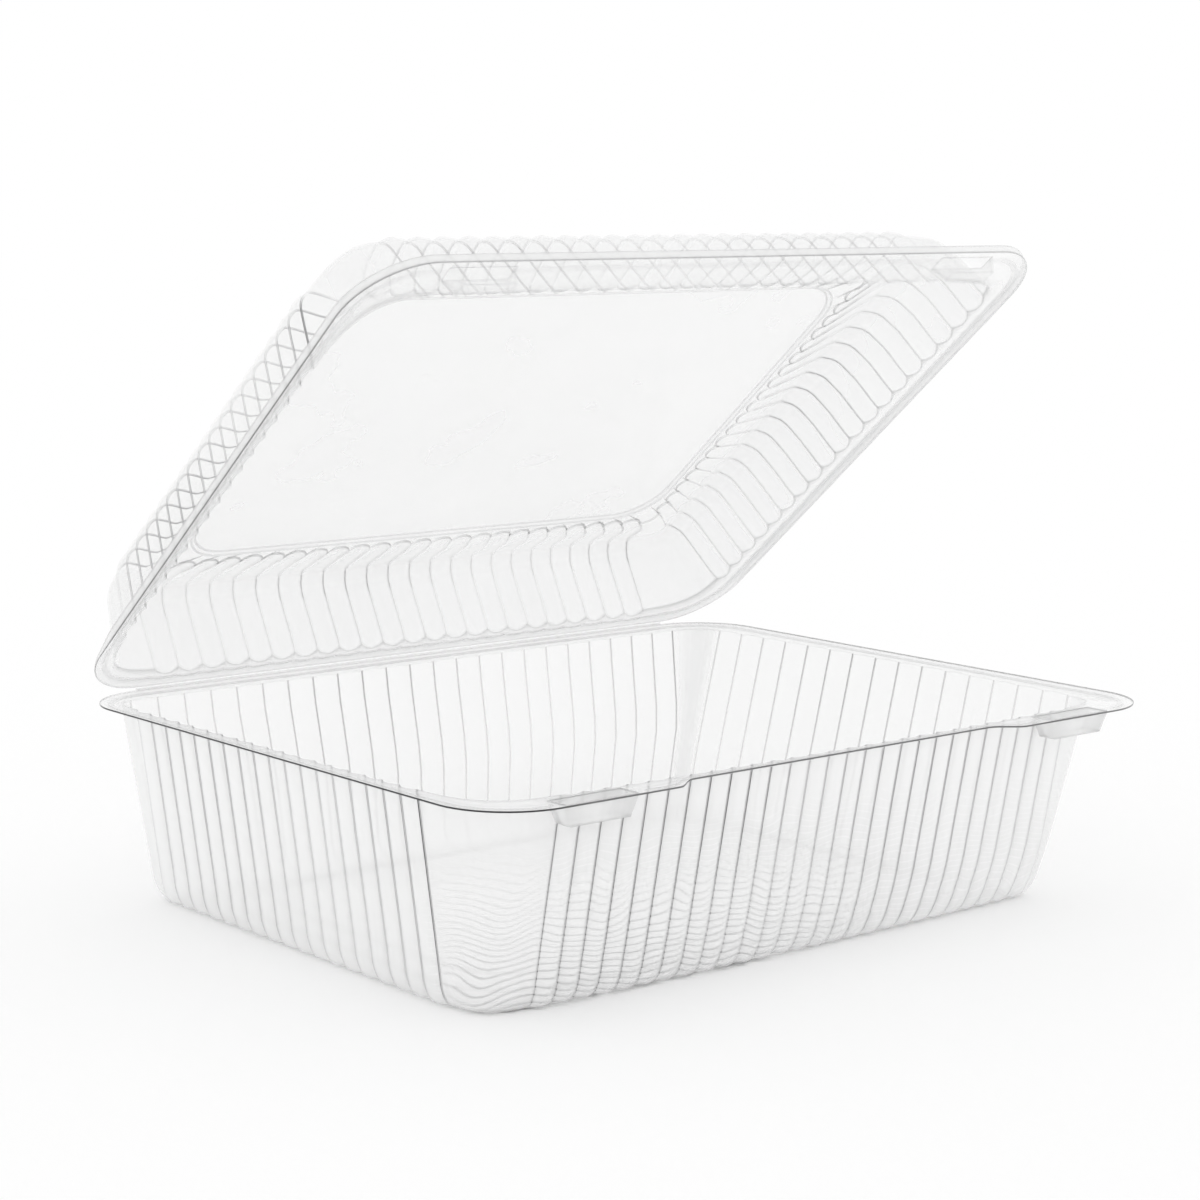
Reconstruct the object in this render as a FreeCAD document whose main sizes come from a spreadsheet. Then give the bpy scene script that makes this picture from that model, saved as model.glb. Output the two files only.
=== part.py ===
import FreeCAD, Part
import math
import os

# Hinged clamshell pack, thermoformed from one clear sheet: a deep tray and a shallow lid
# joined by a crease along the back edge of their flanges.
# +X runs along the hinge, +Y points to the back, +Z up.
# Both halves are drawn from the middle of the hinge line, the lid closed over the tray.
# The lid is then turned open, and the origin moved to the middle of the pack's footprint.

doc = FreeCAD.newDocument("clamshell")
sheet = doc.addObject("Spreadsheet::Sheet", "sizes")

VALUES = [
    ("pack_width", 230.0, "flange length along the hinge"),
    ("pack_depth", 187.0, "hinge line to the front edge of the corner lugs"),
    ("tray_height", 54.0, "ground to the top of the tray flange"),
    ("wall", 0.4, "thickness of the formed sheet"),
    ("open_angle", 40.0, "how far the lid stands open, in degrees"),
    ("flange_gap", 0.4, "closed flanges stand this far apart"),
    ("corner_radius", 20.0, "flange corners"),
    ("front_setback", 5.0, "middle of the tray's front flange, behind the lugs"),
    ("lug_end", 60.0, "where a lug starts to step back, from the middle"),
    ("lug_step", 9.0, "length of that step"),
    ("bead_inset", 3.0, "flange edge to the stiffening bead"),
    ("bead_width", 1.4, "stiffening bead"),
    ("bead_height", 0.5, "stiffening bead"),
    ("tray_left", 5.5, "left flange edge to the rib creases at the flange"),
    ("tray_right", 13.0, "right flange edge to the rib creases"),
    ("tray_front", 10.5, "front lug edge to the rib creases"),
    ("tray_back", 12.0, "hinge line to the rib creases"),
    ("left_lean", 0.14, "inward lean of the tray's left wall, per height"),
    ("right_lean", 0.25, "the same on the right"),
    ("front_lean", 0.2, "the same in front"),
    ("back_lean", 0.1, "the same at the back"),
    ("lid_left", 4.5, "left flange edge to the rib creases of the lid"),
    ("lid_right", 10.0, "right flange edge to the rib creases"),
    ("lid_front", 13.5, "front flange edge to the rib creases"),
    ("lid_back", 7.5, "hinge line to the rib creases"),
    ("lid_lean", 0.22, "inward lean of the lid walls, per height"),
    ("lid_height", 24.0, "lid flange to the top of its crown"),
    ("crown_drop", 4.0, "top panel below the crown"),
    ("crown_width", 22.0, "foot of a lid wall to the inner ends of its ribs"),
    ("crown_left", 16.5, "the same on the left"),
    ("lip_height", 2.0, "rim turned up from the edge of the lid's flange"),
    ("lip_start", 14.0, "hinge line to the start of that rim"),
    ("lip_run", 16.0, "length over which the rim rises"),
    ("bow", 2.0, "outward bow of the tray's front and right walls at their middle"),
    ("rib_bulge", 1.3, "outward bulge of each rib between its creases"),
    ("cap_bulge", 2.6, "rounded inner ends of the lid's ribs"),
    ("foot_radius", 5.5, "rounding between the tray walls and the floor"),
    ("left_start", 25.0, "hinge line to the first crease of the tray's left wall"),
    ("left_span", 126.5, "ribbed length of that wall"),
    ("right_start", 21.0, "hinge line to the first crease of the tray's right wall"),
    ("right_span", 143.0, "ribbed length of that wall"),
    ("front_span", 174.0, "ribbed length of the tray's front wall"),
    ("back_span", 194.0, "ribbed length of the tray's back wall"),
    ("back_shift", 7.0, "middle of that length, left of the pack's middle"),
    ("lid_left_start", 29.5, "hinge line to the first crease of the lid's left wall"),
    ("lid_left_span", 117.5, "ribbed length of that wall"),
    ("lid_right_start", 22.0, "hinge line to the first crease of the lid's right wall"),
    ("lid_right_span", 144.0, "ribbed length of that wall"),
    ("lid_span", 176.0, "ribbed length of the lid's front and back walls"),
    ("lid_shift", 4.0, "middle of that length, left of the pack's middle"),
    ("front_ribs", 27.0, "tray front"),
    ("back_ribs", 23.0, "tray back"),
    ("left_ribs", 18.0, "tray left"),
    ("right_ribs", 15.0, "tray right"),
    ("lid_left_ribs", 17.0, "lid left"),
    ("lid_right_ribs", 19.0, "lid right"),
    ("lid_ribs", 23.0, "lid front and back"),
    ("corner_room", 5.0, "least distance from a crease to the corner of two walls"),
    ("corner_pull", 0.72, "how far the plain corners reach towards the corner of two walls"),
    ("floor_margin", 6.0, "bottom of the walls to the first step of the raised floor"),
    ("floor_step", 1.5, "rise of each floor step"),
    ("floor_tread", 7.0, "width of each floor step"),
    ("floor_corner", 24.0, "corner radius of the floor steps"),
    ("panel_margin", 4.0, "inner ends of the ribs to the step of the lid's top panel"),
    ("panel_step", 0.8, "rise of that step"),
    ("panel_corner", 14.0, "corner radius of that step"),
    ("step_slope", 1.2, "width of the slope on each step"),
    ("snap_offset", 82.0, "snap button, from the middle"),
    ("snap_setback", 4.7, "snap button middle, from the front edge"),
    ("snap_width", 22.0, "tray button at the flange"),
    ("snap_depth", 7.2, "tray button at the flange, front to back"),
    ("snap_height", 5.5, "tray button below the flange"),
    ("snap_draft", 2.0, "narrowing of a button on each side in width"),
    ("snap_pinch", 0.8, "narrowing of a button on each side front to back"),
    ("snap_clear", 0.5, "lid plug inside the tray button, all round"),
    ("hinge_radius", 0.5, "rounded crease of the hinge"),
    ("hinge_clear", 0.15, "lid flange to the rounded crease"),
]

# Rounding at the foot of the tray walls, one ring a line: inward and up as shares of the foot
# radius, then the ribs' bulge and dip as shares of the full bulge, then the hollow's offset
# inward and up as shares of the wall.
FOOT_RINGS = [
    (0.25, 0.36, 0.9, 0.3, 0.8, 0.6),
    (0.55, 0.09, 0.6, 0.2, 0.5, 1.0),
    (0.95, 0.0, 0.3, 0.0, 0.3, 1.0),
]

# Bend at the crown of the lid, one ring a line: inward from the bend and down from the crown,
# then the ribs' bulge and rise as shares of the full bulge, then the hollow's offset inward
# and down as shares of the wall.
BEND_SHARE = 0.8
CROWN_RINGS = [
    (1.6, 1.7, 0.8, 0.5, 0.8, 0.6),
    (4.5, 0.9, 0.3, 0.7, 0.2, 1.0),
]

# How far a cutting shape reaches past the surface it cuts.
PAST = 1.0

for row, (name, value, note) in enumerate(VALUES, start=1):
    sheet.set("A%d" % row, name)
    sheet.set("B%d" % row, repr(value))
    sheet.setAlias("B%d" % row, name)
    sheet.set("C%d" % row, note)
doc.recompute()


def size(name):
    return float(sheet.get(name))


def bind(item, **rules):
    """Tie properties of an object to the sheet."""
    for path, rule in rules.items():
        text = rule
        for name, _, _ in VALUES:
            text = text.replace("<%s>" % name, "<<sizes>>." + name)
        item.setExpression(path, text)


width = size("pack_width")
depth = size("pack_depth")
height = size("tray_height")
wall = size("wall")
axis_z = height + size("flange_gap") / 2
lid_base = height + size("flange_gap")
V = FreeCAD.Vector


def inset_on(left, right, front, back):
    """Insets of the four walls from the flange edge, by side."""
    return {"left": left, "right": right, "front": front, "back": back}


def further_in(insets, amount):
    return {side: inset + amount for side, inset in insets.items()}


def leaned_in(insets, leans, drop):
    """Insets of leaning walls, drop below or above the flange."""
    return {side: inset + leans[side] * drop for side, inset in insets.items()}


def crease_points(first, last, count, outward, sag, z):
    """Crease positions along one wall, bowed outward by sag at its middle."""
    points = []
    for i in range(count + 1):
        u = i / count
        point = first + (last - first) * u + outward * sag * (1 - (2 * u - 1) ** 2)
        points.append(V(point.x, point.y, z))
    return points


def fluted_loop(insets, z, bulge, lift, walls):
    """Closed wire round the pack at one level: an arc for each rib, a curve for each corner.

    bulge pushes the middle of each arc outward, lift pushes it up. walls gives each side's
    ribs as (count, first crease, last crease, bow), measured along that wall.
    """
    left = -width / 2 + insets["left"]
    right = width / 2 - insets["right"]
    front = -depth + insets["front"]
    back = -insets["back"]
    room = size("corner_room")

    def stretch(side, low, high):
        count, first, last, sag = walls[side]
        return count, max(first, low + room), min(last, high - room), sag

    lanes = []
    for side, low, high in (("front", left, right), ("right", front, back),
                            ("back", left, right), ("left", front, back)):
        lanes.append(stretch(side, low, high))
    ends = [
        (V(lanes[0][1], front, z), V(lanes[0][2], front, z), V(0, -1, 0)),
        (V(right, lanes[1][1], z), V(right, lanes[1][2], z), V(1, 0, 0)),
        (V(lanes[2][2], back, z), V(lanes[2][1], back, z), V(0, 1, 0)),
        (V(left, lanes[3][2], z), V(left, lanes[3][1], z), V(-1, 0, 0)),
    ]
    corners = [V(right, front, z), V(right, back, z), V(left, back, z), V(left, front, z)]
    pull = size("corner_pull")
    edges = []
    for k, (first, last, outward) in enumerate(ends):
        count, sag = lanes[k][0], lanes[k][3]
        points = crease_points(first, last, count, outward, sag, z)
        for a, b in zip(points, points[1:]):
            middle = (a + b) * 0.5 + outward * bulge + V(0, 0, lift)
            edges.append(Part.Arc(a, middle, b).toShape())
        following = ends[(k + 1) % 4][0]
        tip = corners[k]
        curve = Part.BezierCurve()
        curve.setPoles([last, last + (tip - last) * pull, following + (tip - following) * pull, following])
        edges.append(curve.toShape())
    return Part.Wire(edges)


def fluted_solid(levels, walls):
    """Solid through the levels, each (insets, z, bulge, lift)."""
    loops = [fluted_loop(insets, z, bulge, lift, walls) for insets, z, bulge, lift in levels]
    return Part.makeLoft(loops, True, True)


def rounded_outline(x_low, x_high, y_low, y_high, radius, z):
    """Rounded rectangle as a closed wire."""
    r = radius
    k = r * (1 - math.sqrt(0.5))
    corners = [
        (V(x_high - r, y_low, z), V(x_high - k, y_low + k, z), V(x_high, y_low + r, z)),
        (V(x_high, y_high - r, z), V(x_high - k, y_high - k, z), V(x_high - r, y_high, z)),
        (V(x_low + r, y_high, z), V(x_low + k, y_high - k, z), V(x_low, y_high - r, z)),
        (V(x_low, y_low + r, z), V(x_low + k, y_low + k, z), V(x_low + r, y_low, z)),
    ]
    edges = []
    for i, (a, m, b) in enumerate(corners):
        edges.append(Part.Arc(a, m, b).toShape())
        edges.append(Part.LineSegment(b, corners[(i + 1) % 4][0]).toShape())
    return Part.Wire(edges)


def rounded_loop(insets, z, radius):
    """Plain rounded rectangle, inset from the flange edge."""
    return rounded_outline(
        -width / 2 + insets["left"], width / 2 - insets["right"],
        -depth + insets["front"], -insets["back"], radius, z,
    )


def raised_step(insets, z_low, z_high, radius):
    """Low block with sloping sides."""
    low = rounded_loop(insets, z_low, radius)
    high = rounded_loop(further_in(insets, size("step_slope")), z_high, radius - size("step_slope"))
    return Part.makeLoft([low, high], True, True)


def plate(loop, thickness):
    return Part.Face(loop).extrude(V(0, 0, thickness))


def tray_outline(inset, z):
    """Flange outline of the tray: corner lugs in front, set back between them."""
    x = width / 2 - inset
    near, far = -inset, -depth + inset
    r = size("corner_radius") - inset
    k = r * (1 - math.sqrt(0.5))
    lug = size("lug_end")
    step = size("lug_step")
    middle = far + size("front_setback")
    right = [V(-lug + step, middle, z), V(lug - step, middle, z), V(lug, far, z), V(x - r, far, z)]
    edges = [Part.LineSegment(right[0], right[1]).toShape()]

    def blend(a, b):
        half = V((b.x - a.x) / 2, 0, 0)
        curve = Part.BezierCurve()
        curve.setPoles([a, a + half, b - half, b])
        return curve.toShape()

    edges.append(blend(right[1], right[2]))
    edges.append(Part.LineSegment(right[2], right[3]).toShape())
    edges.append(Part.Arc(right[3], V(x - k, far + k, z), V(x, far + r, z)).toShape())
    edges.append(Part.LineSegment(V(x, far + r, z), V(x, near - r, z)).toShape())
    edges.append(Part.Arc(V(x, near - r, z), V(x - k, near - k, z), V(x - r, near, z)).toShape())
    edges.append(Part.LineSegment(V(x - r, near, z), V(-x + r, near, z)).toShape())
    edges.append(Part.Arc(V(-x + r, near, z), V(-x + k, near - k, z), V(-x, near - r, z)).toShape())
    edges.append(Part.LineSegment(V(-x, near - r, z), V(-x, far + r, z)).toShape())
    edges.append(Part.Arc(V(-x, far + r, z), V(-x + k, far + k, z), V(-x + r, far, z)).toShape())
    edges.append(Part.LineSegment(V(-x + r, far, z), V(-lug, far, z)).toShape())
    edges.append(blend(V(-lug, far, z), V(-lug + step, middle, z)))
    return Part.Wire(edges)


def lid_outline(inset, z):
    """Flange outline of the lid: a plain rounded rectangle that stops short of the hinge."""
    near = -size("hinge_radius") - size("hinge_clear") - inset
    return rounded_outline(
        -width / 2 + inset, width / 2 - inset, -depth + inset, near, size("corner_radius") - inset, z
    )


def turned_rim(z):
    """Rim turned up all round the lid's flange, rising from nothing beside the hinge."""
    rise = size("lip_height")
    inside = plate(lid_outline(wall, z - PAST), rise + wall + 2 * PAST)
    ring = plate(lid_outline(0, z), rise + wall).cut(inside)
    start = size("lip_start")
    low = z + wall
    high = low + rise + PAST
    reach = start + size("lip_run") * (high - low) / rise
    profile = [V(0, PAST, low), V(0, PAST, high), V(0, -reach, high), V(0, -start, low)]
    ramp = Part.Face(Part.makePolygon(profile + profile[:1])).extrude(V(width + 2 * PAST, 0, 0))
    ramp.translate(V(-width / 2 - PAST, 0, 0))
    return ring.cut(ramp)


def flange_shape(outline, z, bead_side):
    """Flat flange with its stiffening bead on the outer face; bead_side is 1 up, -1 down."""
    body = plate(outline(0, z), wall)
    low = size("bead_inset")
    high = low + size("bead_width")
    rise = size("bead_height")
    foot = z + wall / 2 if bead_side > 0 else z - rise
    ring = plate(outline(low, foot), rise + wall / 2)
    hole = plate(outline(high, foot - PAST), rise + wall / 2 + 2 * PAST)
    return body.fuse(ring.cut(hole))


def feature(name, shape):
    item = doc.addObject("Part::Feature", name)
    item.Shape = shape
    return item


def combine(kind, name, *items):
    item = doc.addObject(kind, name)
    if kind == "Part::Cut":
        item.Base, item.Tool = items
    else:
        item.Shapes = list(items)
    item.Refine = False
    return item


def snap_wedge(name, side, over_width, over_depth, over_height, z):
    """Tapered block hanging from a flange; the rules give its half sizes and height."""
    item = doc.addObject("Part::Wedge", name)
    half_x = "<snap_width>/2-(%s)" % over_width
    half_y = "<snap_depth>/2-(%s)" % over_depth
    bind(
        item,
        Xmin="-(%s)" % half_x,
        Xmax=half_x,
        Zmin="-(%s)" % half_y,
        Zmax=half_y,
        X2min="-(%s-<snap_draft>)" % half_x,
        X2max="%s-<snap_draft>" % half_x,
        Z2min="-(%s-<snap_pinch>)" % half_y,
        Z2max="%s-<snap_pinch>" % half_y,
        Ymax="<snap_height>-(%s)" % over_height,
    )
    item.Ymin = 0
    item.Placement = FreeCAD.Placement(
        V(side * size("snap_offset"), -depth + size("snap_setback"), z),
        FreeCAD.Rotation(V(1, 0, 0), -90),
    )
    return item


# Tray

tray_walls = {
    "front": (int(size("front_ribs")), -size("front_span") / 2, size("front_span") / 2, size("bow")),
    "right": (int(size("right_ribs")), -size("right_start") - size("right_span"),
              -size("right_start"), size("bow")),
    "back": (int(size("back_ribs")), -size("back_shift") - size("back_span") / 2,
             -size("back_shift") + size("back_span") / 2, 0.0),
    "left": (int(size("left_ribs")), -size("left_start") - size("left_span"), -size("left_start"), 0.0),
}
foot = size("foot_radius")
bulge = size("rib_bulge")
top = inset_on(size("tray_left"), size("tray_right"), size("tray_front"), size("tray_back"))
leans = inset_on(size("left_lean"), size("right_lean"), size("front_lean"), size("back_lean"))
low = leaned_in(top, leans, height - foot)
above = leaned_in(top, leans, -PAST - wall / 2)
tray_levels = [(top, height - wall / 2, bulge, 0), (low, foot, bulge, 0)]
hollow_levels = [(further_in(above, wall), height + PAST, bulge, 0), (further_in(low, wall), foot, bulge, 0)]
for inward, up, round_share, dip, thick_in, thick_up in FOOT_RINGS:
    ring = (further_in(low, foot * inward), foot * up, bulge * round_share, -bulge * dip)
    tray_levels.append(ring)
    hollow_levels.append((further_in(ring[0], wall * thick_in), ring[1] + wall * thick_up, ring[2], ring[3]))
rise = size("floor_step")
floor_edge = further_in(tray_levels[-1][0], size("floor_margin"))
inner_edge = further_in(floor_edge, size("floor_tread"))
corner = size("floor_corner")
under = raised_step(floor_edge, -PAST, rise, corner)
under = under.fuse(raised_step(inner_edge, 0, 2 * rise, corner))
over = raised_step(further_in(floor_edge, -wall), 0, rise + wall, corner)
over = over.fuse(raised_step(further_in(inner_edge, -wall), 0, 2 * rise + wall, corner))

tray_body = feature("tray_body", fluted_solid(tray_levels, tray_walls).cut(under))
tray_hollow = feature("tray_hollow", fluted_solid(hollow_levels, tray_walls).cut(over))
tray_flange = feature("tray_flange", flange_shape(tray_outline, height - wall, -1))

hinge_bead = doc.addObject("Part::Cylinder", "hinge_bead")
bind(
    hinge_bead,
    Radius="<hinge_radius>",
    Height="<pack_width>-2*<corner_radius>",
)
hinge_bead.Placement = FreeCAD.Placement(
    V(-width / 2 + size("corner_radius"), 0, axis_z),
    FreeCAD.Rotation(V(0, 1, 0), 90),
)

tray_buttons = []
tray_pockets = []
for side, word in ((-1, "left"), (1, "right")):
    tray_buttons.append(snap_wedge("tray_button_" + word, side, "0", "0", "<wall>/2", height - wall / 2))
    tray_pockets.append(snap_wedge("tray_pocket_" + word, side, "<wall>", "<wall>", "<wall>", height))

tray_whole = combine("Part::MultiFuse", "tray_whole", tray_body, tray_flange, hinge_bead, *tray_buttons)
tray_voids = combine("Part::MultiFuse", "tray_voids", tray_hollow, *tray_pockets)
base_tray = combine("Part::Cut", "base_tray", tray_whole, tray_voids)

# Lid, drawn closed

lid_front = (int(size("lid_ribs")), -size("lid_shift") - size("lid_span") / 2,
             -size("lid_shift") + size("lid_span") / 2, 0.0)
lid_walls = {
    "front": lid_front,
    "right": (int(size("lid_right_ribs")), -size("lid_right_start") - size("lid_right_span"),
              -size("lid_right_start"), 0.0),
    "back": lid_front,
    "left": (int(size("lid_left_ribs")), -size("lid_left_start") - size("lid_left_span"),
             -size("lid_left_start"), 0.0),
}
lid_height = size("lid_height")
lid_lean = size("lid_lean")
crown = lid_base + lid_height
bend = lid_height * BEND_SHARE
foot_line = inset_on(size("lid_left"), size("lid_right"), size("lid_front"), size("lid_back"))
opening = further_in(foot_line, wall - lid_lean * (PAST + wall / 2))
bend_line = further_in(foot_line, lid_lean * bend)
cap_line = further_in(foot_line, size("crown_width"))
cap_line["left"] = foot_line["left"] + size("crown_left")
cap = size("cap_bulge")
panel_z = crown - size("crown_drop")
lid_levels = [(foot_line, lid_base + wall / 2, bulge, 0), (bend_line, lid_base + bend, bulge, 0)]
lid_hollow_levels = [
    (opening, lid_base - PAST, bulge, 0),
    (further_in(bend_line, wall), lid_base + bend, bulge, 0),
]
for inward, down, round_share, lift, thick_in, thick_down in CROWN_RINGS:
    ring = (further_in(bend_line, inward), crown - down, bulge * round_share, bulge * lift)
    lid_levels.append(ring)
    lid_hollow_levels.append(
        (further_in(ring[0], wall * thick_in), ring[1] - wall * thick_down, ring[2], ring[3])
    )
lid_levels.append((cap_line, panel_z, -cap, 0))
lid_hollow_levels.append((cap_line, panel_z - wall, -cap, 0))
panel_edge = further_in(cap_line, size("panel_margin"))
panel_rise = size("panel_step")
round_off = size("panel_corner")
panel_over = raised_step(panel_edge, panel_z - wall / 2, panel_z + panel_rise, round_off)
panel_inner = further_in(panel_edge, wall)
panel_under = raised_step(panel_inner, panel_z - 2 * wall, panel_z + panel_rise - wall, round_off)

lid_body = feature("lid_body", fluted_solid(lid_levels, lid_walls).fuse(panel_over))
lid_hollow = feature("lid_hollow", fluted_solid(lid_hollow_levels, lid_walls).fuse(panel_under))
lid_flange = feature("lid_flange", flange_shape(lid_outline, lid_base, 1).fuse(turned_rim(lid_base)))

lid_plugs = []
lid_recesses = []
fit = "<wall>+<snap_clear>"
for side, word in ((-1, "left"), (1, "right")):
    z = lid_base + wall / 2
    deeper = "<wall>+<snap_clear>-<wall>/2"
    lid_plugs.append(snap_wedge("lid_plug_" + word, side, fit, fit, deeper, z))
    hollow_fit = "2*<wall>+<snap_clear>"
    shallower = "<wall>+<snap_clear>"
    lid_recesses.append(snap_wedge("lid_recess_" + word, side, hollow_fit, hollow_fit, shallower, z + wall))

lid_whole = combine("Part::MultiFuse", "lid_whole", lid_body, lid_flange, *lid_plugs)
lid_voids = combine("Part::MultiFuse", "lid_voids", lid_hollow, *lid_recesses)
lid = combine("Part::Cut", "lid", lid_whole, lid_voids)

# Origin: the middle of the footprint, on the ground

opened = FreeCAD.Placement(
    V(0, 0, 0), FreeCAD.Rotation(V(1, 0, 0), -size("open_angle")), V(0, 0, axis_z)
)
standing = lid_body.Shape.copy()
standing.Placement = opened
extent = standing.optimalBoundingBox(False)
shift = V(0, (depth - extent.YMax) / 2, 0)
base_tray.Placement = FreeCAD.Placement(shift, FreeCAD.Rotation())
lid.Placement = FreeCAD.Placement(opened.Base + shift, opened.Rotation)

doc.recompute()

for item in doc.Objects:
    if "Invalid" in item.State or "Error" in item.State:
        raise RuntimeError("%s did not build" % item.Name)

os.makedirs("parts", exist_ok=True)
for node in (base_tray, lid):
    shape = node.Shape
    if shape.isNull() or not shape.isValid():
        raise RuntimeError("%s has no sound shape" % node.Label)
    if len(shape.Solids) != 1:
        raise RuntimeError("%s is not one solid" % node.Label)
    shape.exportStep("parts/%s.step" % node.Label)
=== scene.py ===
import math

import bmesh
import bpy
import numpy as np
from mathutils import Matrix, Vector


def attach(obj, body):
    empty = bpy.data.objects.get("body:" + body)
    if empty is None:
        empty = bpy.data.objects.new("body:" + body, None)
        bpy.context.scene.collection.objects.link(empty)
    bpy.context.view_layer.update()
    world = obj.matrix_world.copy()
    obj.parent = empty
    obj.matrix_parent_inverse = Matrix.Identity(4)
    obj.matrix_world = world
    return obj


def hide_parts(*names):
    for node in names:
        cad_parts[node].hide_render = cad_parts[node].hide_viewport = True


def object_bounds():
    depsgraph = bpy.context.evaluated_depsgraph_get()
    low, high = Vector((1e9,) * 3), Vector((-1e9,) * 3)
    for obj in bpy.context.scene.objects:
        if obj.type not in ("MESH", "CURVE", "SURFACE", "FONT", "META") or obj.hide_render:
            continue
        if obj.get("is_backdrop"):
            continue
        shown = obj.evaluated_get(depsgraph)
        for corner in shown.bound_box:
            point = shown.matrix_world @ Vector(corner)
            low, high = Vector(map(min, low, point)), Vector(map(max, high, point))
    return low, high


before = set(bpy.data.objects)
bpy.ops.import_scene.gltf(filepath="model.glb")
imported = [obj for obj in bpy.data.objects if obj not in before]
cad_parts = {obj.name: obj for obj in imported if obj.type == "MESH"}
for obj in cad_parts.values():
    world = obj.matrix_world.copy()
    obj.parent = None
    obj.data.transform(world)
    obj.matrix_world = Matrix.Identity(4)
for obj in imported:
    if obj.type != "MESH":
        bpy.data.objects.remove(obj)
cad_bounds = [list(corner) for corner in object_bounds()]

# Sizes in millimetres, from the middle of the hinge line, with the lid drawn closed.
# Lists with one value a side run front, right, back, left.
WIDTH, DEPTH, HEIGHT = 230.0, 187.0, 54.0  # of the flanges, and the tray's height
WALL = 0.4  # thickness of the sheet
GAP = 0.4  # between the closed flanges
OPEN = 40.0  # degrees that the lid is turned from closed
CORNER = 20.0  # radius of the flanges' corners
SHIFT = round(DEPTH + 1000 * cad_bounds[0][1], 4)  # from the hinge line to the frame's middle
AXIS_Z = HEIGHT + GAP / 2
LID_Z = HEIGHT + GAP

# Ribs and creases
BULGE = 1.3  # of a rib, out from its creases
ROOM = 5.0  # least distance from the first crease to the corner of the walls
HALF_LINE = 0.27  # half the width of the painted shade at a crease
CORNER_PULL = 0.72  # share of the way to the corner's tip that its curve is pulled
LEFT_X, LEFT_SPREAD = -32.0, 14.0  # where the painted shade on the front creases is darkest, and how widely

# Tray
TRAY_TOP = np.array([10.5, 13.0, 12.0, 5.5])
TRAY_LEAN = np.array([0.2, 0.25, 0.1, 0.14])
TRAY_KNEE = 12.0
FOOT = 5.5
FOOT_FADE = 3.0  # height under which the painted crease shade fades
FLOOR_IN, FLOOR_RADIUS = 6.0, 24.0
LUG_END, LUG_SLOPE, LUG_STEP = 60.0, 9.0, 5.0

# Lid
LID_FOOT = np.array([13.5, 10.0, 7.5, 4.5])
LID_LEAN = 0.22
LID_HEIGHT = 24.0
LID_KNEE, LID_BEND = 0.78, 0.8  # shares of the bend's height and of the lid's height
CAP_IN = np.array([22.0, 22.0, 22.0, 16.5])
CAP_DROP = 4.0
LID_EDGE, HINGE_CUT = 0.2, 0.65  # how far in its outline lies, and how much more at the hinge
PANEL_RADIUS = 14.0
SCALLOP = 1.3
LIP, LIP_START, LIP_RUN = 2.2, 14.0, 16.0  # height, and where it rises, from the hinge

# Snap cups: width, depth and drop of a cup, and how much narrower its bottom is each way
SNAP_X, SNAP_Y = 82.0, -DEPTH + 4.7
SNAP_PLAY, SNAP_DROP_PLAY = 0.9, 0.7
TRAY_CUP = (21.6, 6.8, 5.3)
LID_CUP = (TRAY_CUP[0] - 2 * SNAP_PLAY, TRAY_CUP[1] - 2 * SNAP_PLAY, TRAY_CUP[2] - SNAP_DROP_PLAY)
CUP_DRAFT = (2.0, 0.8)
# Strength of the painted shade round a cup's mouth and bottom, and the width of that band
CUP_LINE, CUP_LINE_WIDTH = 0.7, 0.35
CUP_MARGIN = 4.0  # width of flange round a mouth that is cut to fit it
BEAD = 0.4  # height of the stiffening bead, which stops beside the cups
BEAD_CLEAR, BEAD_FADE, BEAD_ZONE = 13.0, 4.0, 14.0

# Ribs of each side: count, first and last crease along the wall, bow at the middle.
TRAY_WALLS = [(27, -87.0, 87.0, 2.0), (15, -164.0, -21.0, 2.0),
              (23, -104.0, 90.0, 0.0), (18, -151.5, -25.0, 0.0)]
LID_WALLS = [(23, -92.0, 84.0, 0.0), (19, -166.0, -22.0, 0.0),
             (23, -92.0, 84.0, 0.0), (17, -147.0, -29.5, 0.0)]
OUTWARD = [(0, -1), (1, 0), (0, 1), (-1, 0)]
PLAIN = [0.0] * 4

# Points of a ring
CORNER_STEPS = 20
CORNER_SHARES = [j / (CORNER_STEPS + 1) for j in range(1, CORNER_STEPS + 1)]
OUTLINE_END = 0.02
ARC_STEPS = 30
RIB_STEPS = [0.16, 0.3, 0.42, 0.5, 0.58, 0.7, 0.84]
RIB_POINTS = len(RIB_STEPS) + 3
PAINTED_SHADE, HAZE = 3, 4  # columns of a ring that follow x, y and z: painted shade at creases and edges, and haze


def smooth_rows(rows, steps):
    """Smooth curve through rows of numbers; steps says how many rows follow each given row."""
    rows = [np.array(r, float) for r in rows]
    out = []
    for i in range(len(rows) - 1):
        p1, p2 = rows[i], rows[i + 1]
        p0 = rows[i - 1] if i else p1 * 2 - p2
        p3 = rows[i + 2] if i + 2 < len(rows) else p2 * 2 - p1
        for k in range(steps[i]):
            t = k / steps[i]
            out.append(0.5 * (2 * p1 + (p2 - p0) * t + (2 * p0 - 5 * p1 + 4 * p2 - p3) * t * t
                              + (3 * p1 - p0 - 3 * p2 + p3) * t ** 3))
    out.append(rows[-1])
    return out


def station(insets, z, bulge, lift):
    return list(insets) + [z, bulge, lift]


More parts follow.
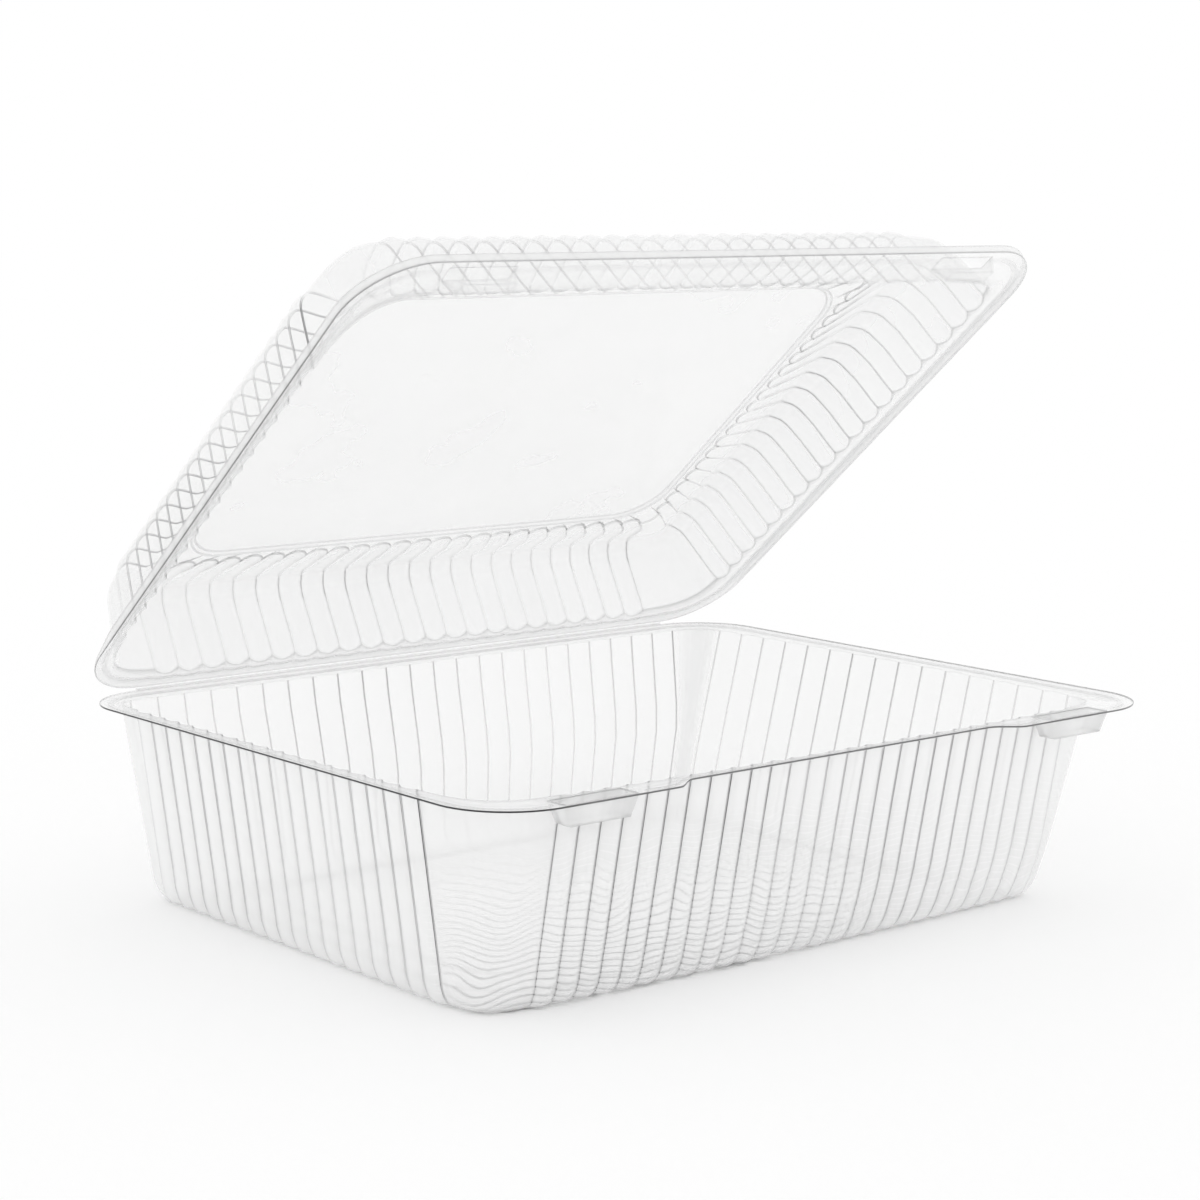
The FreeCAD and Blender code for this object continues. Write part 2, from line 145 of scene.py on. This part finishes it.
def wall_lines(insets, walls):
    """The four ribbed stretches, in order round the pack, and the corner tips that follow them."""
    left, right = -WIDTH / 2 + insets[3], WIDTH / 2 - insets[1]
    front, back = -DEPTH + insets[0], -insets[2]
    lines = []
    for k, (low, high) in enumerate(((left, right), (front, back), (left, right), (front, back))):
        count, first, last, bow = walls[k]
        first, last = max(first, low + ROOM), min(last, high - ROOM)
        ends = {0: ((first, front), (last, front)), 1: ((right, first), (right, last)),
                2: ((last, back), (first, back)), 3: ((left, last), (left, first))}[k]
        out = np.array(OUTWARD[k], float)
        lines.append((np.array(ends[0]), np.array(ends[1]), out, count, bow))
    tips = [(right, front), (right, back), (left, back), (left, front)]
    return lines, [np.array(t) for t in tips]


def corner_steps(first_leg, second_leg):
    """Places along a corner curve, with a point close to each end."""
    near = HALF_LINE / max(3 * np.linalg.norm(first_leg), 1.0)
    far = HALF_LINE / max(3 * np.linalg.norm(second_leg), 1.0)
    return [near] + CORNER_SHARES + [1 - far]


def crease_shade(side, i):
    """Each crease catches the light a little differently."""
    return 0.78 + 0.22 * math.sin(12.9898 * i + 4.1 * side)


def wall_ring(insets, z, bulge, lift, walls, creases, ribs, haze, bare, extra_shade=0.0):
    """One ring of a fluted wall, with the painted shade and haze values of its points.

    bulge: how far a rib stands out, below zero for the round caps; lift: how far its middle is
    raised; creases: painted shade at the creases, by side; ribs: painted shade all along the ring;
    haze: by side, and bare in the plain corners; the last: extra painted shade on the front
    creases at LEFT_X.
    """
    lines, tips = wall_lines(insets, walls)
    ring = []
    for k, (a, b, out, count, bow) in enumerate(lines):
        length = np.linalg.norm(b - a)

        def base(u):
            return a + (b - a) * u + out * bow * (1 - (2 * u - 1) ** 2)

        edge = HALF_LINE / (length / count)
        for i in range(count + 1):
            steps = [0.0, edge] + RIB_STEPS + [1 - edge] if i < count else [0.0]
            for t in steps:
                p = base(i / count) * (1 - t) + base(min(i + 1, count) / count) * t
                s = 1 - (2 * t - 1) ** 2
                p = p + out * bulge * (math.sqrt(s) if bulge < 0 else s)
                # Painted shade: that of the ribs all along the ring, more at each crease, darkest
                # on the front wall round LEFT_X
                painted_shade = ribs[k]
                if t == 0.0:
                    offset = (p[0] - LEFT_X) / LEFT_SPREAD
                    extra = extra_shade * math.exp(-offset ** 2) if k == 0 else 0.0
                    painted_shade = max(painted_shade, creases[k] * crease_shade(k, i) + extra)
                ring.append((p[0], p[1], z + lift * s, painted_shade, haze[k]))
        last, following = base(1.0), lines[(k + 1) % 4][0]
        legs = (tips[k] - last) * CORNER_PULL, (tips[k] - following) * CORNER_PULL
        p1, p2 = last + legs[0], following + legs[1]
        for t in corner_steps(*legs):
            p = (last * (1 - t) ** 3 + p1 * 3 * t * (1 - t) ** 2 + p2 * 3 * t * t * (1 - t)
                 + following * t ** 3)
            nearby = haze[k] * (1 - t) + haze[(k + 1) % 4] * t
            middle = min(1.0, 3.0 * min(t, 1 - t))
            rib = ribs[k] * (1 - t) + ribs[(k + 1) % 4] * t
            ring.append((p[0], p[1], z, rib, nearby * (1 - middle) + bare * middle))
    return np.array(ring)


def outline_ring(wall, walls, insets, edge, near_cut, lugs):
    """Points of the flange outline that face the points of a wall ring, with no height yet.

    edge: how far in from the flange's full size, and near_cut: how much more at the hinge.
    """
    x = WIDTH / 2 - edge
    near, far = -edge - near_cut, -DEPTH + edge
    r = CORNER - edge
    lines, _ = wall_lines(insets, walls)
    share = np.array([OUTLINE_END] + CORNER_SHARES + [1 - OUTLINE_END])
    out = []
    index = 0
    for k, (_, b, _, count, _) in enumerate(lines):
        along = RIB_POINTS * count + 1
        out += [outline_point(k, p, x, near, far, r, lugs) for p in wall[index:index + along]]
        index += along + CORNER_STEPS + 2
        cx = x - r if k < 2 else -x + r
        cy = near - r if k in (1, 2) else far + r
        path = [outline_point(k, b, x, near, far, r, lugs)]
        for j in range(ARC_STEPS + 1):
            angle = math.radians(-90 + 90 * k + 90 / ARC_STEPS * j)
            path.append((cx + r * math.cos(angle), cy + r * math.sin(angle)))
        path.append(outline_point((k + 1) % 4, lines[(k + 1) % 4][0], x, near, far, r, lugs))
        points = np.array(forward_only(path, k))
        steps = np.linalg.norm(np.diff(points, axis=0), axis=1)
        run = np.concatenate([[0], np.cumsum(steps)])
        wanted = run[-1] * share
        out += zip(np.interp(wanted, run, points[:, 0]), np.interp(wanted, run, points[:, 1]))
    return np.array(out)


def forward_only(path, k):
    """Leaves out corner points that lie before the first or after the last point of the path."""
    step = ((1, 1), (-1, 1), (-1, -1), (1, -1))[k]
    first, last = path[0], path[-1]
    kept = [first]
    for q in path[1:-1]:
        ahead = (q[0] - first[0]) * step[0] > 1e-6 and (q[1] - first[1]) * step[1] > 1e-6
        before = (last[0] - q[0]) * step[0] > 1e-6 and (last[1] - q[1]) * step[1] > 1e-6
        if ahead and before:
            kept.append(q)
    return kept + [last]


def outline_point(k, p, x, near, far, r, lugs):
    """The point of the outline straight out from a wall point on side k."""
    def drop(c, low, high):
        over = min(max(low - c, c - high, 0.0), r)
        return r - math.sqrt(max(r * r - over * over, 0.0))

    if k == 0:
        y = far + drop(p[0], -x + r, x - r)
        if lugs:
            s = min(max((LUG_END - abs(p[0])) / LUG_SLOPE, 0.0), 1.0)
            y += LUG_STEP * (3 * s * s - 2 * s ** 3)
        return (p[0], y)
    if k == 2:
        return (p[0], near - drop(p[0], -x + r, x - r))
    inward = drop(p[1], far + r, near - r)
    return (x - inward if k == 1 else -x + inward, p[1])


def flange_rings(outline, wall, walls, z, bead, edges, haze):
    """Rings of the flat flange between its outline and the wall, with the raised bead."""
    widths = np.linalg.norm(wall[:, :2] - outline, axis=1)
    # Painted shade along the flange's outer edge, by side, and haze by side
    edge_lines, hazes = side_values(edges, walls), side_values(haze, walls)
    rings = []
    # Distance from the outline, its most as a share of the flange, painted shade (None: that
    # of the edge), and whether the ring is on the bead
    for distance, share, painted_shade, raised in ((0.0, 0.0, None, 0), (0.3, 0.04, 0.0, 0),
                                          (2.7, 0.34, 0.0, 0), (3.0, 0.38, 0.07, 1),
                                          (4.4, 0.6, 0.07, 1), (4.7, 0.64, 0.0, 0)):
        s = np.minimum(distance / widths, share)[:, None]
        p = outline * (1 - s) + wall[:, :2] * s
        beside = (np.abs(np.abs(p[:, 0]) - SNAP_X) - BEAD_CLEAR) / BEAD_FADE
        room = np.where(p[:, 1] < -DEPTH + BEAD_ZONE, np.clip(beside, 0, 1), 1.0)
        level = z + bead * raised * room
        value = edge_lines if painted_shade is None else np.full(len(p), painted_shade)
        rings.append(np.column_stack([p, level, value, hazes]))
    return rings


def side_values(values, walls):
    """Spreads one value a side over a ring, blended through the corners."""
    out = []
    for k in range(4):
        out += [values[k]] * (RIB_POINTS * walls[k][0] + 1)
        for j in range(1, CORNER_STEPS + 3):
            t = j / (CORNER_STEPS + 3)
            out.append(values[k] * (1 - t) + values[(k + 1) % 4] * t)
    return np.array(out)


def step_ring(template, insets, r, z, painted_shade, haze):
    """A ring of the floor or top panel: a rounded rectangle met by lines from its middle."""
    x0, x1 = -WIDTH / 2 + insets[3], WIDTH / 2 - insets[1]
    y0, y1 = -DEPTH + insets[0], -insets[2]
    cx, cy, hx, hy = (x0 + x1) / 2, (y0 + y1) / 2, (x1 - x0) / 2, (y1 - y0) / 2
    ring = []
    for p in template:
        dx, dy = p[0] - cx, p[1] - cy
        ax, ay = abs(dx), abs(dy)
        scale = min(hx / max(ax, 1e-9), hy / max(ay, 1e-9))
        px, py = ax * scale, ay * scale
        if px > hx - r and py > hy - r:
            ux, uy = ax / math.hypot(ax, ay), ay / math.hypot(ax, ay)
            qx, qy = hx - r, hy - r
            b = ux * qx + uy * qy
            reach = b + math.sqrt(max(b * b - qx * qx - qy * qy + r * r, 0.0))
            px, py = ux * reach, uy * reach
        # Each point takes the painted shade given for the ring, which marks the steps of the floor
        # and panel
        ring.append((cx + math.copysign(px, dx), cy + math.copysign(py, dy), z, painted_shade, haze))
    return np.array(ring)


def build_sheet(name, rings, cups, bead):
    """Joins the rings into one sheet, closes the last ring, adds the snap cups and hinge bead."""
    bm = bmesh.new()
    # Per point: painted shade at creases and edges, and haze
    painted_shade = bm.verts.layers.float.new("painted_shade")
    haze = bm.verts.layers.float.new("haze")

    def vertex(p):
        v = bm.verts.new(p[:3])
        v[painted_shade] = p[PAINTED_SHADE]
        v[haze] = p[HAZE]
        return v

    rows = [[vertex(p) for p in ring] for ring in rings]
    for a, b in zip(rows, rows[1:]):
        for i in range(len(a)):
            j = (i + 1) % len(a)
            bm.faces.new((a[i], a[j], b[j], b[i]))
    last = rows[-1]
    middle = np.mean(rings[-1], axis=0)
    middle[PAINTED_SHADE] = 0.0
    centre = vertex(middle)
    for i in range(len(last)):
        bm.faces.new((last[i], last[(i + 1) % len(last)], centre))
    for cup in cups:
        add_cup(bm, vertex, *cup)
    if bead:
        add_bead(bm, vertex)
    bmesh.ops.recalc_face_normals(bm, faces=bm.faces[:])
    mesh = bpy.data.meshes.new(name)
    bm.to_mesh(mesh)
    bm.free()
    return mesh


def snap_cups(z, size, haze):
    """What add_cup needs for the two snap cups of a flange at height z."""
    return [(side * SNAP_X, SNAP_Y, z, *size, *CUP_DRAFT, haze) for side in (-1, 1)]


def add_cup(bm, vertex, cx, cy, z, w, d, depth, draft, pinch, haze):
    """Cuts a mouth in the flat flange and hangs a tapered cup from it."""
    x0, x1, y0, y1 = cx - w / 2, cx + w / 2, cy - d / 2, cy + d / 2

    def flat_faces(margin):
        found = []
        for f in bm.faces:
            c = f.calc_center_median()
            if abs(c.x - cx) < w / 2 + margin and abs(c.y - cy) < d / 2 + margin:
                if all(abs(v.co.z - z) < 1e-4 for v in f.verts):
                    found.append(f)
        return found

    for co, no in (((x0, 0, 0), (1, 0, 0)), ((x1, 0, 0), (1, 0, 0)),
                   ((0, y0, 0), (0, 1, 0)), ((0, y1, 0), (0, 1, 0))):
        faces = flat_faces(CUP_MARGIN)
        edges = list({e for f in faces for e in f.edges})
        verts = list({v for f in faces for v in f.verts})
        bmesh.ops.bisect_plane(bm, geom=faces + edges + verts, plane_co=co, plane_no=no)
    bmesh.ops.delete(bm, geom=flat_faces(0), context="FACES")
    rows = []
    # Depth of each row, how far it is inside the cup's wall, and its painted shade
    for level, inner, value in ((0.0, 0.0, CUP_LINE), (CUP_LINE_WIDTH, 0.0, 0.0),
                                (depth - CUP_LINE_WIDTH, 0.0, 0.0), (depth, 0.0, CUP_LINE),
                                (depth, CUP_LINE_WIDTH, 0.0)):
        share = level / depth
        hx = w / 2 - draft * share - inner
        hy = d / 2 - pinch * share - inner
        rows.append([vertex((cx + sx * hx, cy + sy * hy, z - level, value * haze, haze))
                     for sx, sy in ((-1, -1), (1, -1), (1, 1), (-1, 1))])
    for a, b in zip(rows, rows[1:]):
        for i in range(4):
            bm.faces.new((a[i], a[(i + 1) % 4], b[(i + 1) % 4], b[i]))
    bm.faces.new(rows[-1])


def add_bead(bm, vertex):
    """Rounded crease of the hinge."""
    half, r, turns = WIDTH / 2 - CORNER, 0.3, 10
    # Faint painted shade along the bead
    painted_shade, haze = 0.04, 0.15
    ends = []
    for x in (-half, half):
        ring = []
        for j in range(turns):
            angle = 2 * math.pi * j / turns
            ring.append(vertex((x, r * math.cos(angle), AXIS_Z + r * math.sin(angle), painted_shade, haze)))
        ends.append(ring)
    for j in range(turns):
        i = (j + 1) % turns
        bm.faces.new((ends[0][j], ends[0][i], ends[1][i], ends[1][j]))
    bm.faces.new(ends[0])
    bm.faces.new(ends[1])


def finish_object(mesh, name, matrix, body, node, material):
    """Places a sheet in the frame, gives it its thickness and ties it to its body."""
    mesh.transform(matrix)
    obj = bpy.data.objects.new(name, mesh)
    bpy.context.scene.collection.objects.link(obj)
    for p in mesh.polygons:
        p.use_smooth = True
    mesh.materials.append(material)
    solid = obj.modifiers.new("sheet", "SOLIDIFY")
    solid.thickness = WALL / 1000
    solid.offset = 0.0
    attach(obj, body)
    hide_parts(node)


def add_node(tree, kind, inputs=None, **settings):
    """A new shader node; an input is linked where it is given a socket, and set otherwise."""
    made = tree.nodes.new(kind)
    for key, value in settings.items():
        setattr(made, key, value)
    for key, value in (inputs or {}).items():
        if isinstance(value, bpy.types.NodeSocket):
            tree.links.new(value, made.inputs[key])
        else:
            made.inputs[key].default_value = value
    return made


def multiply(tree, a, b):
    return add_node(tree, "ShaderNodeMath", {0: a, 1: b}, operation="MULTIPLY").outputs[0]


def multiply_add(tree, a, b, c):
    """a times b plus c, kept between 0 and 1."""
    return add_node(tree, "ShaderNodeMath", {0: a, 1: b, 2: c}, operation="MULTIPLY_ADD",
                    use_clamp=True).outputs[0]


def ramp(tree, value, ends):
    return add_node(tree, "ShaderNodeMapRange", {"Value": value, **ends}).outputs["Result"]


def painted_refraction_ripples(tree, place, strength):
    """Painted refraction: the steps of the tray's floor, seen as wavy bands through the low front
    wall, strongest towards its left end.
    """
    wave = add_node(tree, "ShaderNodeTexWave", {
        "Vector": place, "Scale": 175.0, "Distortion": 22.0, "Detail": 1.0, "Detail Scale": 0.28,
    }, bands_direction="Z")
    crests = ramp(tree, wave.outputs["Fac"], {"From Min": 0.86, "To Max": strength})
    apart = add_node(tree, "ShaderNodeSeparateXYZ", {"Vector": place}).outputs
    low = ramp(tree, apart["Z"], {"From Min": 0.044, "From Max": 0.004})
    front = ramp(tree, apart["Y"], {"From Min": -0.058, "From Max": -0.07})
    left = ramp(tree, apart["X"], {"From Min": 0.04, "From Max": -0.02, "To Min": 0.25})
    return multiply(tree, crests, multiply(tree, multiply(tree, low, left), front))


def clear_sheet(name, tone, refraction_ripples):
    """Clear formed sheet: hazy where the ribs scatter the light, with painted shade in grey at its
    creases and edges.

    The last argument is the strength of the painted refraction bands that show low on the front
    wall.
    """
    mat = bpy.data.materials.new(name)
    mat.use_nodes = True
    tree = mat.node_tree
    tree.nodes.clear()
    painted_shade = add_node(tree, "ShaderNodeAttribute", attribute_name="painted_shade").outputs["Fac"]
    haze = add_node(tree, "ShaderNodeAttribute", attribute_name="haze").outputs["Fac"]
    place = add_node(tree, "ShaderNodeTexCoord").outputs["Object"]
    cloud = add_node(tree, "ShaderNodeTexNoise",
                     {"Vector": place, "Scale": 34.0, "Detail": 3.0}).outputs["Fac"]
    body = multiply(tree, haze, ramp(tree, cloud, {"To Min": 0.82, "To Max": 1.18}))
    # Painted shade at creases and edges, with the painted refraction bands added
    painted_shade_and_refraction = multiply_add(tree, painted_shade, 1.5, painted_refraction_ripples(tree, place, refraction_ripples))
    # Near white sheet, turned to near black where the painted shade and refraction lie
    tint = add_node(tree, "ShaderNodeMix", data_type="RGBA")
    tint.inputs["A"].default_value = (tone, tone, tone, 1)
    tint.inputs["B"].default_value = (0.03, 0.03, 0.032, 1)
    tree.links.new(painted_shade_and_refraction, tint.inputs["Factor"])
    bump = add_node(tree, "ShaderNodeBump",
                    {"Height": cloud, "Strength": 0.15, "Distance": 0.0004})
    bsdf = add_node(tree, "ShaderNodeBsdfPrincipled", {
        "Base Color": tint.outputs["Result"], "Roughness": 0.12, "IOR": 1.5,
        "Alpha": multiply_add(tree, painted_shade_and_refraction, 0.85, body), "Normal": bump.outputs["Normal"],
    })
    add_node(tree, "ShaderNodeOutputMaterial", {"Surface": bsdf.outputs["BSDF"]})
    return mat


def tray_rings():
    """Rings of the tray, from the edge of its flange to the middle of its floor."""
    z = HEIGHT - WALL / 2
    haze = [0.46, 0.2, 0.2, 0.42]
    # Painted shade by side, front, right, back, left: at the creases, all along the top ring, and
    # along the flange's outer edge
    creases = [0.85, 0.6, 0.55, 1.0]
    rim = [0.2, 0.08, 0.08, 0.24]
    flange_edge_shade, flange_haze = [0.58, 0.45, 0.16, 0.9], [0.3] * 4
    bare, floor_haze = 0.45, 0.1

    def ring(insets, level, bulge, lift, lines, ribs=PLAIN, extra_shade=0.0):
        return wall_ring(insets, level, bulge, lift, TRAY_WALLS, lines, ribs, haze, bare, extra_shade)

    top = ring(TRAY_TOP, z, BULGE, 0, creases, rim)
    outline = outline_ring(top, TRAY_WALLS, TRAY_TOP, 0.0, 0.0, True)
    rings = flange_rings(outline, top, TRAY_WALLS, z, -BEAD, flange_edge_shade, flange_haze)
    rings.append(ring(TRAY_TOP - 0.25, z, BULGE, 0, PLAIN))
    rings.append(top)
    # Just under the top ring, extra painted shade on the front creases
    rings.append(ring(TRAY_TOP + 0.05, z - 0.3, BULGE, 0, creases, extra_shade=0.5))

    low = TRAY_TOP + TRAY_LEAN * (HEIGHT - FOOT)
    knee = TRAY_TOP + TRAY_LEAN * (HEIGHT - TRAY_KNEE)
    rows = smooth_rows([
        station(TRAY_TOP, z, BULGE, 0),
        station(knee, TRAY_KNEE, BULGE, 0),
        station(low, FOOT, BULGE, 0),
        station(low + FOOT * 0.25, FOOT * 0.36, BULGE * 0.9, -BULGE * 0.3),
        station(low + FOOT * 0.55, FOOT * 0.09 + WALL / 2, BULGE * 0.6, 0),
        station(low + FOOT * 0.95, WALL / 2, BULGE * 0.3, 0),
    ], [6, 3, 4, 3, 3])
    for row in rows[1:]:
        insets, (level, bulge, lift) = row[:4], row[4:]
        high = min(max(level / HEIGHT, 0.0), 1.0)
        # Painted crease shade weakens towards the foot, and the front creases get more of it
        # higher up
        fade = 0.5 if level < FOOT_FADE else 0.55 + 0.45 * high
        rings.append(ring(insets, max(level, WALL / 2), bulge, min(lift, 0),
                          [c * fade for c in creases], extra_shade=0.9 * max(high - 0.35, 0)))

    template = ring(low + FOOT, WALL / 2, 0, 0, PLAIN)
    edge = low + FOOT * 0.95 + FLOOR_IN
    # Distance in from the floor's edge, height, and painted shade
    for inward, level, painted_shade in ((0.0, 0.0, 0.0), (0.3, 0.1, 0.2), (1.2, 1.5, 0.0),
                                (7.0, 1.5, 0.0), (7.3, 1.6, 0.2), (8.2, 3.0, 0.0)):
        rings.append(step_ring(template, edge + inward, FLOOR_RADIUS, level + WALL / 2, painted_shade,
                               floor_haze))
    return rings


def lid_rings():
    """Rings of the closed lid, from its turned-up rim to the middle of its top panel."""
    z = LID_Z + WALL / 2
    haze, ledge = [0.2, 0.27, 0.32, 0.2], [0.28, 0.3, 0.34, 0.22]
    # Painted shade by side: at the creases of the wall, the bend and the crown, along the scallops
    # at the foot, round the caps, and along the rim's and the flange's edges
    creases = [0.5, 0.42, 0.24, 0.85]
    bend_creases, crown_creases = [0.5, 0.5, 0.42, 0.85], [0.42, 0.4, 0.32, 0.85]
    scallop, caps = [0.15, 0.24, 0.2, 0.24], [0.38, 0.42, 0.4, 0.5]
    rim_edge_shade, lip_haze = [0.42, 0.25, 0.1, 0.62], 0.35
    flange_edge_shade, flange_haze = [0.42, 0.3, 0.14, 0.62], [0.12, 0.42, 0.34, 0.3]
    bare, panel_haze = 0.3, 0.28

    def ring(insets, level, bulge, lift, lines=PLAIN, ribs=PLAIN, hazes=haze, corner=bare):
        return wall_ring(insets, level, bulge, lift, LID_WALLS, lines, ribs, hazes, corner)

    foot = ring(LID_FOOT - 0.3, z, BULGE, 0)
    outline = outline_ring(foot, LID_WALLS, LID_FOOT, LID_EDGE, HINGE_CUT, False)
    lip = LIP * np.clip((-outline[:, 1] - LIP_START) / LIP_RUN, 0.03, 1)
    edges = side_values(rim_edge_shade, LID_WALLS)
    rings = []
    # Rings of the turned-up rim, each with a share of the painted shade along its edge
    for share, rim_shade_share in ((1.0, 0.3), (0.85, 0.05), (0.2, 0.15)):
        rings.append(np.column_stack([outline, z + lip * share, edges * rim_shade_share,
                                      np.full(len(lip), lip_haze)]))
    rings += flange_rings(outline, foot, LID_WALLS, z, BEAD, flange_edge_shade, flange_haze)
    rings.append(foot)
    # Painted shade at the creases, and along the scallops where the ribs meet the flange
    rings.append(ring(LID_FOOT, z + SCALLOP, BULGE, -SCALLOP + 0.1, creases, scallop))
    rings.append(ring(LID_FOOT + 0.1, z + SCALLOP + 0.3, BULGE, -SCALLOP + 0.1, creases))

    bend = LID_HEIGHT * LID_BEND
    bent = LID_FOOT + LID_LEAN * bend + 0.3
    crown = LID_Z + LID_HEIGHT - WALL / 2 - 0.25
    cap = LID_FOOT + CAP_IN
    panel = LID_Z + LID_HEIGHT - CAP_DROP - WALL / 2
    rows = smooth_rows([
        station(LID_FOOT, z, BULGE, 0),
        station(LID_FOOT + LID_LEAN * bend * LID_KNEE, LID_Z + bend * LID_KNEE, BULGE, 0),
        station(bent, LID_Z + bend, BULGE, 0),
        station(bent + 2.0, crown - 1.9, BULGE * 0.8, BULGE * 0.5),
        station(bent + 5.0, crown - 0.9, BULGE * 0.3, BULGE * 0.7),
        station(cap - 0.3, panel, -2.3, 0),
    ], [4, 3, 3, 4, 6])
    bend_row, ledge_row, crown_row = 5, 8, 12
    for i, row in enumerate(rows[1:-1], start=1):
        insets, (level, bulge, lift) = row[:4], row[4:]
        # Painted crease shade, set apart for the wall, the bend and the crown
        strength = creases if i < bend_row else bend_creases if i < crown_row else crown_creases
        rings.append(ring(insets, level, bulge, lift, strength,
                          hazes=haze if i < ledge_row else ledge))

    rings.append(ring(cap - 0.25, panel, -2.4, 0, hazes=ledge, corner=0.2))
    # Painted shade round the outline of the caps
    rings.append(ring(cap, panel, -2.6, 0, ribs=caps, hazes=ledge))
    rings.append(ring(cap + 0.25, panel, -2.7, 0, hazes=[panel_haze] * 4, corner=panel_haze))
    template = ring(cap, panel, 0, 0)
    # Distance in from the caps, height, and painted shade
    for inward, level, painted_shade in ((4.0, 0.0, 0.0), (4.3, 0.1, 0.22), (4.6, 0.2, 0.0),
                                (4.9, 0.6, 0.0), (5.2, 0.8, 0.22), (5.5, 0.8, 0.0)):
        rings.append(step_ring(template, cap + inward, PANEL_RADIUS, panel + level, painted_shade,
                               panel_haze))
    return rings


closed = Matrix.Scale(0.001, 4) @ Matrix.Translation((0, SHIFT, 0))
turn = (Matrix.Translation((0, 0, AXIS_Z)) @ Matrix.Rotation(math.radians(-OPEN), 4, "X")
        @ Matrix.Translation((0, 0, -AXIS_Z)))

tray_cups = snap_cups(HEIGHT - WALL / 2, TRAY_CUP, 0.42)
finish_object(build_sheet("tray", tray_rings(), tray_cups, True), "tray", closed, "base",
              "base_tray", clear_sheet("clear_tray", 0.97, 0.42))
lid_cups = snap_cups(LID_Z + WALL / 2, LID_CUP, 0.16)
# The lid's tone is a little darker than the tray's though both are the same plastic: painted shade
finish_object(build_sheet("lid_shell", lid_rings(), lid_cups, False), "lid_shell",
              closed @ turn, "lid", "lid", clear_sheet("clear_lid", 0.95, 0.0))

# Floor: white, with no gloss
floor_mat = bpy.data.materials.new("floor")
floor_mat.use_nodes = True
floor_inputs = floor_mat.node_tree.nodes["Principled BSDF"].inputs
floor_inputs["Base Color"].default_value = (1, 1, 1, 1)
floor_inputs["Roughness"].default_value = 1.0
floor_inputs["Specular IOR Level"].default_value = 0.0
bpy.ops.mesh.primitive_plane_add(size=12, location=(0, 0, 0))
floor = bpy.context.object
floor.name = "floor"
floor.data.materials.append(floor_mat)
floor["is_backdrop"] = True

# Light: an even white world, and no lamps
world = bpy.data.worlds.new("world")
bpy.context.scene.world = world
world.use_nodes = True
world.node_tree.nodes.clear()
studio = add_node(world.node_tree, "ShaderNodeBackground",
                  {"Color": (1, 1, 1, 1), "Strength": 1.0})
add_node(world.node_tree, "ShaderNodeOutputWorld", {"Surface": studio.outputs[0]})

# Camera: azimuth, elevation and roll in degrees, place in metres, lens in millimetres
AZIMUTH, ELEVATION, ROLL = -39.6, 8.452, 0.242
CAMERA_PLACE = (-0.48256, -0.57772, 0.19295)
LENS, SENSOR = 84.33, 36

cam_data = bpy.data.cameras.new("camera")
cam = bpy.data.objects.new("camera", cam_data)
bpy.context.scene.collection.objects.link(cam)
az, el, roll = math.radians(AZIMUTH), math.radians(ELEVATION), math.radians(ROLL)
back = Vector((math.sin(az) * math.cos(el), -math.cos(az) * math.cos(el), math.sin(el)))
right = Vector((math.cos(az), math.sin(az), 0))
up = back.cross(right)
rolled_right = right * math.cos(roll) + up * math.sin(roll)
rolled_up = -right * math.sin(roll) + up * math.cos(roll)
place_cam = Matrix((rolled_right, rolled_up, back)).transposed().to_4x4()
place_cam.translation = Vector(CAMERA_PLACE)
cam.matrix_world = place_cam
cam_data.sensor_width = SENSOR
cam_data.lens = LENS
cam_data.clip_start = 0.01
bpy.context.scene.camera = cam

scene = bpy.context.scene
scene.view_settings.view_transform = "Standard"
scene.cycles.transparent_max_bounces = 64
scene.cycles.max_bounces = 16

own_bounds = [list(corner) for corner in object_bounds()]
({"cad": [[float(v) for v in c] for c in cad_bounds],
           "scene": [[float(v) for v in c] for c in own_bounds]})
